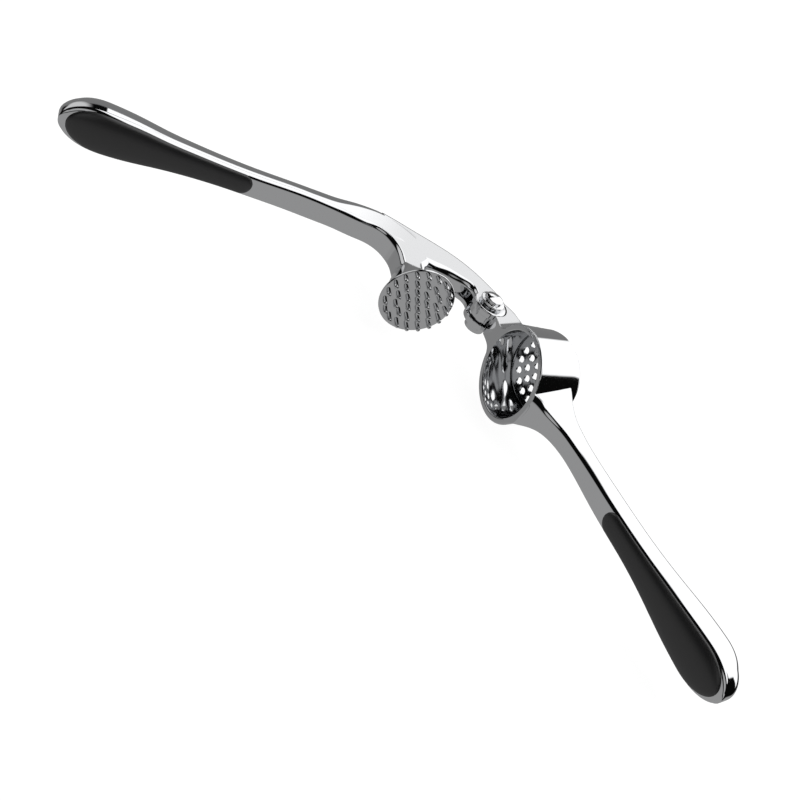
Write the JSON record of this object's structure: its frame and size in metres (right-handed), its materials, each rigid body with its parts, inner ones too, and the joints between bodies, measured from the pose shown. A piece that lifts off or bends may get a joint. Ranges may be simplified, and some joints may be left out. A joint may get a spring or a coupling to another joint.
{
  "type": "garlic press",
  "caption": "Hinged garlic press: two cast levers with soft grips, a round perforated hopper and a pinned press plate.",
  "frame": {"origin": "on the hinge axis, at the flat lower end of the pivot nut", "axes": "+Z along the hinge axis towards the pivot's domed head; +Y down the hopper's bore, from its mouth to its sieve; +X from the hinge across the hopper to its handle"},
  "size_m": [0.2528, 0.1537, 0.036],
  "materials": {
    "cast_chrome": "mirror-polished plating on a zinc casting",
    "sieve_steel": "polished stainless",
    "grip_rubber": "smooth satin black"
  },
  "bodies": {
    "hopper_body": {"hopper_lever": "cast_chrome", "sieve_plate": "sieve_steel", "hopper_grip_pad": "grip_rubber", "pivot_bolt": "cast_chrome", "pivot_collar": "cast_chrome", "pivot_washer": "sieve_steel", "pivot_nut": "cast_chrome"},
    "press_body": {"press_lever": "cast_chrome", "press_plate": "cast_chrome", "press_grip_pad": "grip_rubber"}
  },
  "joints": [
    {"name": "press_hinge", "type": "hinge", "parent": "hopper_body", "child": "press_body", "pos_m": [0, 0, 0.008], "axis": [0, 0, 1], "range_deg": [0, 110.8]}
  ]
}
